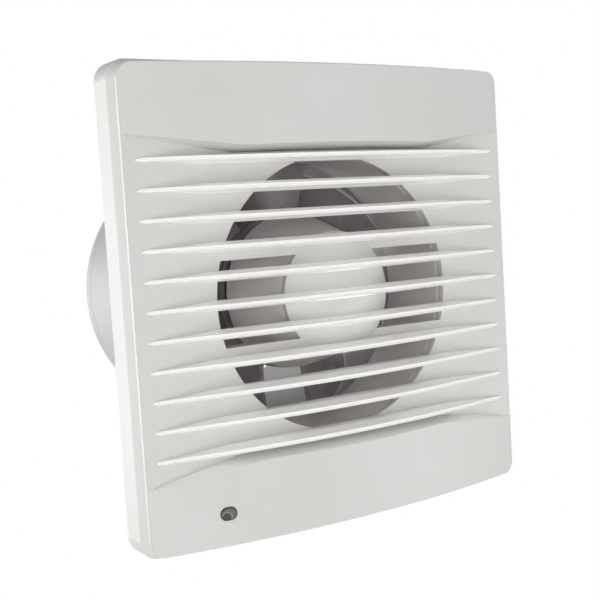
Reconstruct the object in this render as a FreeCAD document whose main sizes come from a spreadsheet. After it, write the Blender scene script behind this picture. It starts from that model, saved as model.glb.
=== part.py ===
# Wall mounted axial exhaust fan for a 100 mm duct.
# Frame: origin on the duct axis in the wall plane, +Y into the wall, +Z up, cover towards -Y.
import FreeCAD, Part
import math
import os
import re
import Sketcher
from FreeCAD import Placement, Rotation, Vector

# Driving sizes in millimetres, angles in degrees; an entry in words is worked out from the others.
SIZES = {
    "general": {"overrun": 2.0, "match_within": 0.1},
    "cover shell": {
        "cover_width": 150.0, "cover_corner": 6.0, "skirt_depth": 9.0, "bevel_depth": 3.4, "edge_land": 1.2,
        "bevel_inset": 1.4, "front_bulge": 8.2, "cover_wall": 2.2, "edge_round": 0.7,
        "floor_scoop": 1.8, "floor_wall": 2.0, "opening_radius": 45.3, "recess_half": 49.4,
        "recess_flat": 36.2, "recess_turn": 60.0, "recess_flare": 6.5, "recess_draft": 14.0,
        "recess_wall": 2.3,
    },
    "slats": {
        "slat_count": 11, "slat_pitch": 9.0, "slat_width": 3.2, "slat_nose": 1.4,
        "slat_shoulder": 5.5, "slat_setback": 0.4, "crossbar_step": 2, "crossbar_height": 4.4,
    },
    "dome": {
        "dome_overlap": 2.4, "dome_radius": "=crossbar_step * slat_pitch + dome_overlap",
        "dome_rise": 6.0, "dome_wall": 2.0,
    },
    "cover pegs": {
        "peg_radius": 2.0, "peg_reach": 64.5, "peg_height": 42.0, "peg_tip": 3.4,
        "socket_clearance": 0.15, "socket_wall": 1.9, "socket_rise": 7.2,
    },
    "indicator": {
        "lens_width": 5.4, "lens_height": 4.2, "lens_left": 49.3, "lens_drop": 63.3,
        "lens_clearance": 0.1, "lens_proud": 0.35, "lens_brim": 1.4, "lens_brim_depth": 1.2,
        "lamp_radius": 2.0, "lamp_length": 7.6, "lamp_clearance": 0.1, "holder_wall": 1.6,
        "holder_length": 6.4, "holder_floor": 1.2,
    },
    "housing": {
        "flange_gap": 1.3, "flange_thickness": 2.5, "flange_corner": 4.0, "rim_rise": 4.5,
        "rim_wall": 1.8, "duct_radius": 49.5, "duct_wall": 2.0, "duct_front": 7.5,
        "neck_relief": 0.5, "neck_length": 1.5, "neck_radius": "=duct_radius - neck_relief",
        "collar_radius": "=duct_radius + neck_relief",
        "spigot_length": 88.0, "spigot_lead": 7.0, "spigot_step": 0.6, "spigot_bevel": 0.8,
        "mount_spacing": 120.0, "mount_hole_radius": 2.25, "mount_pad_radius": 5.5, "mount_pad_rise": 1.2,
        "rib_wall": 1.6, "rib_rise": 4.0, "rib_reach": 24.0, "panel_clear": 2.5,
    },
    "motor carrier": {
        "sleeve_wall": 1.4, "sleeve_clearance": 0.3, "sleeve_rear": 20.0, "lip_thickness": 1.6,
        "lip_seat": 0.1, "lip_skirt": 4.0, "lip_round": 1.2, "arm_height": 16.5, "arm_thickness": 2.4,
        "arm_front": 3.0, "arm_depth": 10.0, "seam_gap": 0.4, "pod_rear_radius": 27.2, "pod_rear": 14.7,
        "pod_wall": 1.8, "pod_front_wall": 2.0, "ear_offset": 3.2,
        "ear_circle": "=neck_radius + sleeve_clearance + sleeve_wall + ear_offset",
        "ear_radius": 4.2, "ear_thickness": 1.6,
        "ear_seat": 5.2, "boss_radius": 3.5,
    },
    "fasteners": {
        "carrier_screw_radius": 1.1, "screw_clearance": 0.15, "carrier_head_radius": 2.6,
        "carrier_head_rise": 1.7, "carrier_screw_length": 4.0, "motor_screw_radius": 1.5,
        "motor_screw_circle": 17.0, "motor_head_radius": 2.7, "motor_head_rise": 1.8, "post_radius": 2.2,
        "motor_screw_end": 0.3, "drive_slot_width": 0.7, "drive_slot_depth": 0.7,
    },
    "motor": {
        "stack_front": 3.0, "stack_length": 12.0, "core_radius": 21.2, "yoke_width": 2.3,
        "bore_radius": 11.2, "pole_width": 9.0, "lug_radius": 3.2, "air_gap": 0.3,
        "shaft_radius": 2.0, "shaft_front": 5.0,
        "winding_build": 2.5, "bobbin_wall": 0.6, "bobbin_inner": 14.4,
        "bobbin_outer": 17.3, "winding_fit": 0.05, "shade_slot": 2.0, "shade_wire": 1.1,
        "shade_inner": 12.4, "shade_outer": 14.2,
    },
    "bearings": {
        "bush_radius": 4.5, "bush_length": 5.2, "bush_clearance": 0.03, "bracket_plate": 2.3,
        "bracket_offset": 6.2, "bracket_boss_radius": 6.5, "boss_length": 5.7, "bracket_arm_width": 4.4,
        "end_ring_inner": 4.2, "end_ring_outer": 9.5, "end_ring_depth": 2.0, "washer_radius": 3.8,
        "washer_thickness": 0.6, "washer_gap": 0.1,
    },
    "impeller": {
        "blade_count": 7, "hub_radius": 27.6, "hub_wall": 2.0, "hub_front": 18.6, "hub_rear": 42.0,
        "hub_round": 5.0, "hub_boss_radius": 5.0, "hub_boss_length": 15.0, "tip_clearance": 1.1,
        "blade_middle": 31.0, "blade_thickness": 1.7, "root_chord": 25.0, "tip_chord": 41.0,
        "root_pitch": 52.0, "tip_pitch": 27.0, "root_camber": 34.0, "tip_camber": 60.0, "first_blade": 95.0,
        "nut_flats": 7.0, "nut_height": 3.2, "shaft_stickout": 4.2,
    },
    "wiring": {
        "terminal_right": 60.0, "terminal_width": 12.0, "terminal_length": 26.0, "terminal_depth": 7.5,
        "terminal_pitch": 8.0, "terminal_entry": 4.4, "terminal_entry_height": 2.6,
        "terminal_entry_rise": 0.5,
        "terminal_entry_depth": 4.0, "terminal_screw_radius": 1.8,
        "terminal_screw_spread": 6.0, "terminal_screw_length": 2.2, "terminal_screw_sink": 0.4,
        "cable_right": 61.5, "cable_drop": 28.0, "grommet_bore": 3.5, "grommet_neck": 5.0,
        "grommet_brim": 6.4,
        "grommet_brim_depth": 1.5, "grommet_clearance": 0.05, "clamp_drop": 20.0, "clamp_spread": 11.0,
        "clamp_post_radius": 2.2, "clamp_post_rise": 4.6, "clamp_plate": 1.5, "clamp_width": 5.0,
        "clamp_screw_radius": 1.1, "clamp_head_radius": 2.0, "clamp_head_rise": 1.2,
        "clamp_screw_length": 5.0,
        "lead_radius": 0.7, "lead_bend": 2.0, "lead_slot_height": 4.2, "lead_slot_depth": 2.2,
    },
}

doc = FreeCAD.newDocument("exhaust_fan")
sheet = doc.addObject("Spreadsheet::Sheet", "Sizes")
names = set()
row = 0
for piece, entries in SIZES.items():
    for alias, number in entries.items():
        row += 1
        sheet.set("A%d" % row, piece)
        sheet.set("B%d" % row, alias)
        sheet.set("C%d" % row, str(number))
        sheet.setAlias("C%d" % row, alias)
        names.add(alias)
doc.recompute()

# Places along Y, worked out from the sizes; front faces are negative.
EDGE_DEPTH = "(skirt_depth + bevel_depth + edge_land)"
FRONT_DEPTH = "(skirt_depth + bevel_depth + edge_land + front_bulge)"
FRONT_HALF = "(cover_width / 2 - bevel_inset)"
FRONT_RADIUS = f"(({FRONT_HALF}^2 + front_bulge^2) / (2 * front_bulge))"
FLOOR_DEPTH = f"({EDGE_DEPTH} - floor_scoop)"
FLOOR_RADIUS = f"(({FRONT_HALF}^2 + floor_scoop^2) / (2 * floor_scoop))"
REACH = "(cover_width / 2 + overrun)"
INNER_HALF = "(cover_width / 2 - cover_wall)"
FLANGE_HALF = "(cover_width / 2 - cover_wall - flange_gap)"
POD_FRONT = f"({FLOOR_DEPTH} - floor_wall - seam_gap)"
BORE_WALL = "(duct_radius - duct_wall)"
SLEEVE_OUTER = f"({BORE_WALL} - sleeve_clearance)"
SLEEVE_INNER = f"({BORE_WALL} - sleeve_clearance - sleeve_wall)"
LIP_BACK = "(duct_front + lip_seat)"
LIP_FRONT = "(duct_front + lip_seat + lip_thickness)"
LIP_OUTER = "(neck_radius + sleeve_clearance + sleeve_wall)"
STACK_REAR = "(stack_front + stack_length)"
STACK_MIDDLE = "(stack_front + stack_length / 2)"
BRACKET_HALF = "(stack_length / 2 + bracket_offset + bracket_plate)"
NODES = {}


def cells(text):
    """Write size names in an expression as cells of the sheet."""
    return re.sub(r"[A-Za-z_]\w*", lambda m: "Sizes." + m.group() if m.group() in names else m.group(),
                  text)


def value(text):
    return float(sheet.evalExpression(cells(text)))


def bind(thing, prop, text):
    thing.setExpression(prop, cells(text))


def node(label, thing):
    """Register a finished sub-part under its label."""
    thing.Label = label
    NODES[label] = thing


PLANES = {
    "XY": (Rotation(), "z", ""),
    "XZ": (Rotation(Vector(1, 0, 0), 90), "y", "-"),
    "YZ": (Rotation(Vector(1, 1, 1), 120), "x", ""),
}


def arc_between(start, end, radius):
    """Arc that bulges to the right of the way from start to end, or to the left for a negative radius."""
    chord = end - start
    side = Vector(chord.y, -chord.x, 0).normalize()
    sagitta = abs(radius) - math.sqrt(max(radius ** 2 - (chord.Length / 2) ** 2, 0))
    middle = (start + end) * 0.5 + side * math.copysign(sagitta, radius)
    return Part.Arc(start, middle, end)


def outline(sketch, points):
    """Closed outline through (x, y) or (x, y, radius of the edge that leaves it), all held by the sheet."""
    places = [Vector(value(p[0]), value(p[1]), 0) for p in points]
    ends = []
    first = sketch.GeometryCount
    for i, point in enumerate(points):
        start, end = places[i], places[(i + 1) % len(places)]
        bent = len(point) == 3
        edge = arc_between(start, end, value(point[2])) if bent else Part.LineSegment(start, end)
        geo = sketch.addGeometry(edge)
        gaps = [sketch.getPoint(geo, tip).distanceToPoint(start) for tip in (1, 2)]
        ends.append((2, 1) if gaps[0] > gaps[1] else (1, 2))
    for i, point in enumerate(points):
        here, after = first + i, first + (i + 1) % len(points)
        joined = Sketcher.Constraint("Coincident", here, ends[i][1], after, ends[(i + 1) % len(points)][0])
        sketch.addConstraint(joined)
        for kind, axis, text in (("DistanceX", -2, point[0]), ("DistanceY", -1, point[1])):
            if text == "0":
                sketch.addConstraint(Sketcher.Constraint("PointOnObject", here, ends[i][0], axis))
                continue
            held = Sketcher.Constraint(kind, -1, 1, here, ends[i][0], value(text))
            bind(sketch, "Constraints[%d]" % sketch.addConstraint(held), text)
        if len(point) < 3:
            continue
        chord = (places[(i + 1) % len(places)] - places[i]).Length
        if math.isclose(chord, 2 * abs(value(point[2]))):
            sketch.addConstraint(Sketcher.Constraint("Symmetric", here, 1, here, 2, here, 3))
        else:
            held = Sketcher.Constraint("Radius", here, abs(value(point[2])))
            bind(sketch, "Constraints[%d]" % sketch.addConstraint(held), point[2].lstrip("-"))
    return sketch


def flat(name, plane, points, offset="0"):
    """Sketch with one outline on a plane of the frame, moved along the plane's normal."""
    sketch = doc.addObject("Sketcher::SketchObject", name)
    turn, axis, sign = PLANES[plane]
    sketch.Placement = Placement(Vector(), turn)
    if offset != "0":
        bind(sketch, "Placement.Base." + axis, f"{sign}({offset})")
    return outline(sketch, points)


def rounded(half, radius, half_height=None):
    """Points of a rounded rectangle about the frame's axis."""
    tall = half_height or half
    return [
        (f"{radius} - {half}", f"-{tall}"), (f"{half} - {radius}", f"-{tall}", radius),
        (half, f"{radius} - {tall}"), (half, f"{tall} - {radius}", radius),
        (f"{half} - {radius}", tall), (f"{radius} - {half}", tall, radius),
        (f"-{half}", f"{tall} - {radius}"), (f"-{half}", f"{radius} - {tall}", radius),
    ]


def extrude(name, sketch, way, length, taper=None, both=False):
    thing = doc.addObject("Part::Extrusion", name)
    thing.Base = sketch
    thing.DirMode = "Custom"
    thing.Dir = Vector(*way)
    thing.Solid = True
    thing.Symmetric = both
    bind(thing, "LengthFwd", length)
    if taper:
        bind(thing, "TaperAngle", taper)
    return thing


def revolve(name, points, plane="XY", axis=(0, 1, 0), centre=None, angle=None):
    """Turned solid about the duct axis, or about an upright axis at a stated depth."""
    thing = doc.addObject("Part::Revolution", name)
    thing.Source = flat(name + "_outline", plane, points)
    thing.Axis = Vector(*axis)
    thing.Solid = True
    if centre:
        bind(thing, "Base.y", centre)
    if angle:
        thing.Symmetric = True
        bind(thing, "Angle", angle)
    return thing


def place(thing, at):
    for axis, text in zip("xyz", at):
        if text != "0":
            bind(thing, "Placement.Base." + axis, text)
    return thing


def box(name, corner, size):
    thing = doc.addObject("Part::Box", name)
    for prop, text in zip(("Length", "Width", "Height"), size):
        bind(thing, prop, text)
    return place(thing, corner)


def rod(name, at, radius, length):
    """Round bar along +Y from the stated point."""
    thing = doc.addObject("Part::Cylinder", name)
    thing.Placement = Placement(Vector(), Rotation(Vector(1, 0, 0), -90))
    bind(thing, "Radius", radius)
    bind(thing, "Height", length)
    return place(thing, at)


def fuse(name, *things):
    thing = doc.addObject("Part::MultiFuse", name)
    thing.Shapes = list(things)
    thing.Refine = True
    return thing


def common(name, *things):
    thing = doc.addObject("Part::MultiCommon", name)
    thing.Shapes = list(things)
    return thing


def cut(name, base, *tools):
    thing = doc.addObject("Part::Cut", name)
    thing.Base = base
    thing.Tool = tools[0] if len(tools) == 1 else group(name + "_tools", *tools)
    return thing


def group(name, *things):
    thing = doc.addObject("Part::Compound", name)
    thing.Links = list(things)
    return thing


def turned(name, thing, angle):
    """Copy of a piece turned about the duct axis, angle counted from +X towards +Z."""
    copy = doc.addObject("Part::Compound", name)
    copy.Links = [thing]
    copy.Placement = Placement(Vector(), Rotation(Vector(0, -1, 0), angle))
    return copy


def quarters(name, thing, start=0):
    """The same piece at four places a quarter turn apart."""
    return [turned(f"{name}_{k}", thing, start + 90 * k) for k in range(4)]


def corners(name, across, up, radius, depth, length):
    """Four rods, one near each corner of the flange."""
    return [
        rod(f"{name}_{i}", (f"{sx}({across})", depth, f"{sz}({up})"), radius, length)
        for i, (sx, sz) in enumerate((("", ""), ("-", ""), ("-", "-"), ("", "-")))
    ]


def slab(name, sketch_points):
    """Upright slab whose plan is the outline, taller than the cover."""
    return extrude(name, flat(name + "_plan", "XY", sketch_points), (0, 0, 1),
                   "2 * (cover_width + overrun)", both=True)


def bowed(depth, radius, back, sign=""):
    """Plan outline between a bowed front edge and a straight one; sign "-" bows it away from the room."""
    drop = f"({radius} - sqrt({radius}^2 - {REACH}^2))"
    end = f"{drop} - {depth}" if sign == "" else f"-{drop} - {depth}"
    return [(f"-{REACH}", end, sign + radius), (REACH, end), (REACH, back), (f"-{REACH}", back)]


# Front grille: bowed shell with a scooped floor, slats, crossbars and a central dome.
def cover_block():
    skirt = extrude("skirt", flat("skirt_face", "XZ", rounded("(cover_width / 2)", "cover_corner")),
                    (0, -1, 0), "skirt_depth")
    bevel = extrude("bevel",
                    flat("bevel_face", "XZ", rounded("(cover_width / 2)", "cover_corner"), "skirt_depth"),
                    (0, -1, 0), "bevel_depth", taper="-atan(bevel_inset / bevel_depth)")
    front_corner = "(cover_corner - bevel_inset)"
    front_face = flat("front_face", "XZ", rounded(FRONT_HALF, front_corner), "skirt_depth + bevel_depth")
    front = extrude("front", front_face, (0, -1, 0), "edge_land + front_bulge + overrun")
    behind_front = slab("behind_front", bowed(FRONT_DEPTH, FRONT_RADIUS, "overrun"))
    block = common("bowed_block", fuse("square_block", skirt, bevel, front), behind_front)
    doc.recompute()
    soft = doc.addObject("Part::Fillet", "soft_block")
    soft.Base = block
    crown = value(FRONT_RADIUS)
    bow = Vector(0, crown - value(FRONT_DEPTH), 0)

    def on_front(vertex):
        point = vertex.Point
        return abs(math.hypot(point.x, point.y - bow.y) - crown) < value("match_within")

    size = value("edge_round")
    rims = [i for i, edge in enumerate(block.Shape.Edges, 1) if all(on_front(v) for v in edge.Vertexes)]
    soft.Edges = [(i, size, size) for i in rims]
    return soft


def recess_plan(inset, far):
    """Upper half of the recess: straight in the middle, rising towards the sides."""
    side = f"({FRONT_HALF} + 2 * overrun)"
    slope = f"atan(recess_flare / ({side} - recess_flat))"
    trim = f"(recess_turn * tan({slope} / 2))"
    low = f"(recess_half + {inset})"
    high = f"(recess_half + recess_flare + {inset})"
    bend_in, bend_out = f"(recess_flat - {trim})", f"(recess_flat + {trim} * cos({slope}))"
    lift = f"({low} + {trim} * sin({slope}))"
    return [
        (f"-{side}", high), (f"-{bend_out}", lift, "recess_turn"), (f"-{bend_in}", low),
        (bend_in, low, "recess_turn"), (bend_out, lift), (side, high), (side, far), (f"-{side}", far),
    ]


def grille():
    ahead_of_floor = slab("ahead_of_floor",
                          bowed(FLOOR_DEPTH, FLOOR_RADIUS, f"-({FRONT_DEPTH} + 2 * overrun)", "-"))
    rear_radius = f"({FLOOR_RADIUS} + floor_wall)"
    behind_floor = slab("behind_floor", bowed(f"({FLOOR_DEPTH} - floor_wall)", rear_radius, "overrun", "-"))
    middle_radius = f"({FLOOR_RADIUS} + floor_wall / 2)"
    ahead_of_middle = slab("ahead_of_middle", bowed(f"({FLOOR_DEPTH} - floor_wall / 2)", middle_radius,
                                                    f"-({FRONT_DEPTH} + 2 * overrun)", "-"))
    band_inside = slab("band_inside",
                       bowed(f"({FRONT_DEPTH} - cover_wall)", f"({FRONT_RADIUS} - cover_wall)", "overrun"))
    start = f"({FRONT_DEPTH} + overrun)"
    recess_face = flat("recess_face", "XZ", recess_plan("0", "0"), start)
    recess_top = extrude("recess_top", recess_face, (0, 1, 0), FRONT_DEPTH, taper="-recess_draft")
    recess_low = doc.addObject("Part::Mirroring", "recess_low")
    recess_low.Source = recess_top
    recess_low.Normal = Vector(0, 0, 1)
    core = box("recess_core", (f"-({FRONT_HALF} + overrun)", f"-{start}", "-recess_half / 2"),
               (f"2 * ({FRONT_HALF} + overrun)", FRONT_DEPTH, "recess_half"))
    recess = common("recess", fuse("recess_block", recess_top, recess_low, core), ahead_of_floor)

    inside_face = flat("inside_face", "XZ", rounded(INNER_HALF, "(cover_corner - cover_wall)"), "-overrun")
    inside = extrude("inside", inside_face, (0, -1, 0), f"{FRONT_DEPTH} + overrun")
    cavity = common("cavity", inside, behind_floor)
    band_face = flat("band_face", "XZ", recess_plan("recess_wall", "cover_width / 2"), "-overrun")
    band_top = extrude("band_top", band_face, (0, -1, 0), f"{FRONT_DEPTH} + overrun")
    band_low = doc.addObject("Part::Mirroring", "band_low")
    band_low.Source = band_top
    band_low.Normal = Vector(0, 0, 1)
    narrow_half = f"({FRONT_HALF} - cover_wall)"
    narrow_corner = "(cover_corner - bevel_inset - cover_wall)"
    narrow = extrude("narrow", flat("narrow_face", "XZ", rounded(narrow_half, narrow_corner), "-overrun"),
                     (0, -1, 0), f"{FRONT_DEPTH} + overrun")
    hollows = [common("hollow_" + side, band, narrow, band_inside)
               for side, band in (("top", band_top), ("low", band_low))]

    hole = rod("inlet_hole", ("0", f"-{FRONT_DEPTH}", "0"), "opening_radius", FRONT_DEPTH)
    bar_place = "(crossbar_step * slat_pitch)"
    bars = [
        box("bar_top", ("-cover_width / 2", f"-{FRONT_DEPTH}", f"{bar_place} - crossbar_height"),
            ("cover_width", FRONT_DEPTH, "crossbar_height")),
        box("bar_low", ("-cover_width / 2", f"-{FRONT_DEPTH}", f"-{bar_place}"),
            ("cover_width", FRONT_DEPTH, "crossbar_height")),
    ]
    opening = cut("opening", hole, *bars)
    shell = cut("shell", cover_block(), recess, cavity, *hollows, opening)

    count = int(value("slat_count"))
    nose = f"({FRONT_DEPTH} - slat_setback)"
    run, spread = "(slat_shoulder - slat_nose / 2)", "((slat_width - slat_nose) / 2)"
    flank = f"-(({run}^2 + {spread}^2) / (2 * {spread}))"
    slats = []
    for k in range(count):
        level = f"({k} - (slat_count - 1) / 2) * slat_pitch"
        section = [
            (f"-{nose} + slat_nose / 2", f"{level} + slat_nose / 2", "-slat_nose / 2"),
            (f"-{nose} + slat_nose / 2", f"{level} - slat_nose / 2", flank),
            (f"-{nose} + slat_shoulder", f"{level} - slat_width / 2"),
            ("-skirt_depth", f"{level} - slat_width / 2"),
            ("-skirt_depth", f"{level} + slat_width / 2"),
            (f"-{nose} + slat_shoulder", f"{level} + slat_width / 2", flank),
        ]
        sweep = revolve(f"slat_{k}", section, "YZ", (0, 0, 1), f"{FRONT_RADIUS} - {FRONT_DEPTH}",
                        f"2 * asin({FRONT_HALF} / ({FRONT_RADIUS} - slat_setback))")
        slats.append(common(f"slat_trim_{k}", sweep, ahead_of_middle))

    crown = f"({FLOOR_DEPTH} + dome_rise)"
    bulge = "((dome_radius^2 + dome_rise^2) / (2 * dome_rise))"
    inner = "(dome_radius - dome_wall)"
    inner_rise = "(dome_rise + floor_wall - dome_wall)"
    inner_bulge = f"(({inner}^2 + {inner_rise}^2) / (2 * {inner_rise}))"
    rear = f"({FLOOR_DEPTH} - floor_wall)"
    dome = revolve("dome", [
        ("0", f"-{crown}", bulge), ("dome_radius", f"-{FLOOR_DEPTH}"), ("dome_radius", f"-{rear}"),
        (inner, f"-{rear}", "-" + inner_bulge), ("0", f"-{crown} + dome_wall"),
    ])
    dome_hollow = revolve("dome_hollow", [
        ("0", f"-{crown} + dome_wall", inner_bulge), (inner, f"-{rear}"), (inner, "0"), ("0", "0"),
    ])
    peg_root = f"({EDGE_DEPTH} - floor_wall / 2)"
    pegs = corners("peg", "peg_reach", "peg_height", "peg_radius", f"-{peg_root}", f"{peg_root} - peg_tip")
    window = extrude("lens_window", flat("lens_window_face", "XZ", lens_outline("0")), (0, -1, 0),
                     FRONT_DEPTH)
    slotted = cut("slotted", fuse("shell_and_slats", shell, *slats, dome, *pegs), dome_hollow, window)
    node("front_grille", slotted)
    return band_inside


def lens_outline(grow):
    """Oval with round ends about the indicator's place."""
    half = f"(lens_height / 2 + {grow})"
    reach = "((lens_width - lens_height) / 2)"
    left, low, high = f"-lens_left - {reach}", f"-lens_drop - {half}", f"-lens_drop + {half}"
    right = f"-lens_left + {reach}"
    return [(left, low), (right, low, half), (right, high), (left, high, half)]


# Indicator: smoked lens in the cover, small lamp and its holder on the flange.
def indicator(band_inside):
    column = extrude("lens_column", flat("lens_face", "XZ", lens_outline("-lens_clearance")), (0, -1, 0),
                     FRONT_DEPTH)
    proud_slab = slab("lens_front",
                      bowed(f"({FRONT_DEPTH} + lens_proud)", f"({FRONT_RADIUS} + lens_proud)", "overrun"))
    back = f"({FRONT_DEPTH} - cover_wall - lens_brim_depth)"
    back_radius = f"({FRONT_RADIUS} - cover_wall - lens_brim_depth)"
    ahead = slab("lens_back", bowed(back, back_radius, f"-({FRONT_DEPTH} + 2 * overrun)"))
    brim = extrude("lens_brim_block", flat("lens_brim_face", "XZ", lens_outline("lens_brim")), (0, -1, 0),
                   FRONT_DEPTH)
    lens = fuse("lens", common("lens_body", column, proud_slab, ahead),
                common("lens_rim", brim, band_inside, ahead))
    node("indicator_lens", lens)

    seat = "(flange_thickness + holder_floor)"
    here = ("-lens_left", f"-({seat} + lamp_length)", "-lens_drop")
    bulb = rod("bulb", here, "lamp_radius", "lamp_length")
    tip = doc.addObject("Part::Sphere", "bulb_tip")
    bind(tip, "Radius", "lamp_radius")
    node("indicator_lamp", fuse("lamp", bulb, place(tip, here)))
    bore = "(lamp_radius + lamp_clearance)"
    outer = rod("holder_outer", ("-lens_left", "-(flange_thickness + holder_length)", "-lens_drop"),
                f"{bore} + holder_wall", "holder_length")
    inner = rod("holder_bore", ("-lens_left", f"-({seat} + lamp_length)", "-lens_drop"), bore,
                "lamp_length")
    node("lamp_holder", cut("holder", outer, inner))


# Housing: square flange with rim, duct tube and spigot, pads, sockets and bosses.
def housing():
    front = "-(flange_thickness + rim_rise)"
    plate = extrude("flange", flat("flange_face", "XZ", rounded(FLANGE_HALF, "flange_corner")), (0, -1, 0),
                    "flange_thickness")
    rim_outer = extrude("rim_outer", flat("rim_outer_face", "XZ", rounded(FLANGE_HALF, "flange_corner")),
                        (0, -1, 0), "flange_thickness + rim_rise")
    rim_half = f"({FLANGE_HALF} - rim_wall)"
    rim_plan = rounded(rim_half, "(flange_corner - rim_wall)")
    rim_inner = extrude("rim_inner", flat("rim_inner_face", "XZ", rim_plan, "-overrun"), (0, -1, 0),
                        "flange_thickness + rim_rise + 2 * overrun")
    rim = cut("rim", rim_outer, rim_inner)
    step = "(spigot_length - spigot_lead)"
    lead_radius = "(duct_radius - spigot_step)"
    tube = revolve("tube", [
        (BORE_WALL, "-duct_front"), ("neck_radius", "-duct_front"), ("neck_radius", "-flange_thickness"),
        ("collar_radius", "-flange_thickness"), ("collar_radius", "0"), ("neck_radius", "0"),
        ("neck_radius", "neck_length"), ("duct_radius", "neck_length"), ("duct_radius", step),
        (lead_radius, f"{step} + spigot_step"), (lead_radius, "spigot_length - spigot_bevel"),
        (f"{lead_radius} - spigot_bevel", "spigot_length"), (BORE_WALL, "spigot_length"),
    ])
    bore = rod("flange_bore", ("0", front, "0"), "collar_radius", "flange_thickness + rim_rise + overrun")
    pads = corners("mount_pad", "mount_spacing / 2", "mount_spacing / 2", "mount_pad_radius",
                   "-(flange_thickness + mount_pad_rise)", "flange_thickness + mount_pad_rise")
    holes = corners("mount_hole", "mount_spacing / 2", "mount_spacing / 2", "mount_hole_radius",
                    "-(flange_thickness + mount_pad_rise + overrun)",
                    "flange_thickness + mount_pad_rise + 2 * overrun")
    socket_bore = "(peg_radius + socket_clearance)"
    sockets = corners("socket", "peg_reach", "peg_height", f"{socket_bore} + socket_wall",
                      "-(flange_thickness + socket_rise)", "flange_thickness + socket_rise")
    socket_holes = corners("socket_hole", "peg_reach", "peg_height", socket_bore,
                           "-(flange_thickness + socket_rise + overrun)", "socket_rise + overrun")
    diagonal = "(ear_circle / sqrt(2))"
    bosses = corners("carrier_boss", diagonal, diagonal, "boss_radius", "-ear_seat", "ear_seat")
    pilots = corners("carrier_pilot", diagonal, diagonal, "(carrier_screw_radius + screw_clearance)",
                     "-(ear_seat + overrun)", "ear_seat + overrun - flange_thickness / 2")
    ribs = []
    for i, (sx, sz) in enumerate((("", ""), ("-", ""), ("-", "-"), ("", "-"))):
        side = f"{sx}rib_reach - rib_wall / 2"
        low = "duct_radius - duct_wall" if sz == "" else f"-{rim_half} - rim_wall / 2"
        ribs.append(box(f"rib_{i}", (side, "-(flange_thickness + rib_rise)", low),
                        ("rib_wall", "rib_rise + flange_thickness / 2",
                         f"{rim_half} + rim_wall / 2 - duct_radius + duct_wall")))
    posts = [rod(f"clamp_post_{i}", (f"cable_right {sign} clamp_spread / 2",
                                     "-(flange_thickness + clamp_post_rise)", "-clamp_drop"),
                 "clamp_post_radius", "flange_thickness / 2 + clamp_post_rise")
             for i, sign in enumerate("-+")]
    post_holes = [rod(f"clamp_hole_{i}", (f"cable_right {sign} clamp_spread / 2",
                                          "-(flange_thickness + clamp_post_rise + overrun)", "-clamp_drop"),
                      "clamp_screw_radius + screw_clearance", "clamp_post_rise + overrun")
                  for i, sign in enumerate("-+")]
    cable_hole = rod("cable_hole", ("cable_right", "-(flange_thickness + overrun)", "-cable_drop"),
                     "grommet_neck", "flange_thickness + 2 * overrun")
    solid = fuse("housing_solid", cut("plate", fuse("flange_and_rim", plate, rim, *ribs), bore), *pads,
                 *sockets, *bosses, *posts)
    notch = box("lead_notch", ("-(rib_reach + rib_wall)", "-(flange_thickness + rib_rise + overrun)",
                               "-lens_drop - lead_slot_height / 2"),
                ("2 * (rib_reach + rib_wall)", "rib_rise + overrun", "lead_slot_height"))
    whole = cut("housing_body", solid, *holes, *socket_holes, *pilots, *post_holes, cable_hole, notch)
    # One moulding in three simple pieces: square flange, panel beside the duct and the duct itself.
    beside = box("beside_duct", ("duct_radius + panel_clear", "-cover_width / 2", "-cover_width / 2"),
                 ("cover_width", "cover_width", "cover_width"))
    node("housing", cut("main_flange", whole, beside))
    node("terminal_panel", common("side_panel", whole, beside))
    node("duct_tube", cut("tube_body", tube, lead_window("tube_window", "bore_radius")))


def lead_window(name, inner):
    """Way for the motor leads, beside the front edge of the upper right arm."""
    return box(name, (inner, "-(arm_front + lead_slot_depth)", "arm_height - lead_slot_height / 2"),
               ("ear_circle", "lead_slot_depth", "lead_slot_height"))


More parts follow.
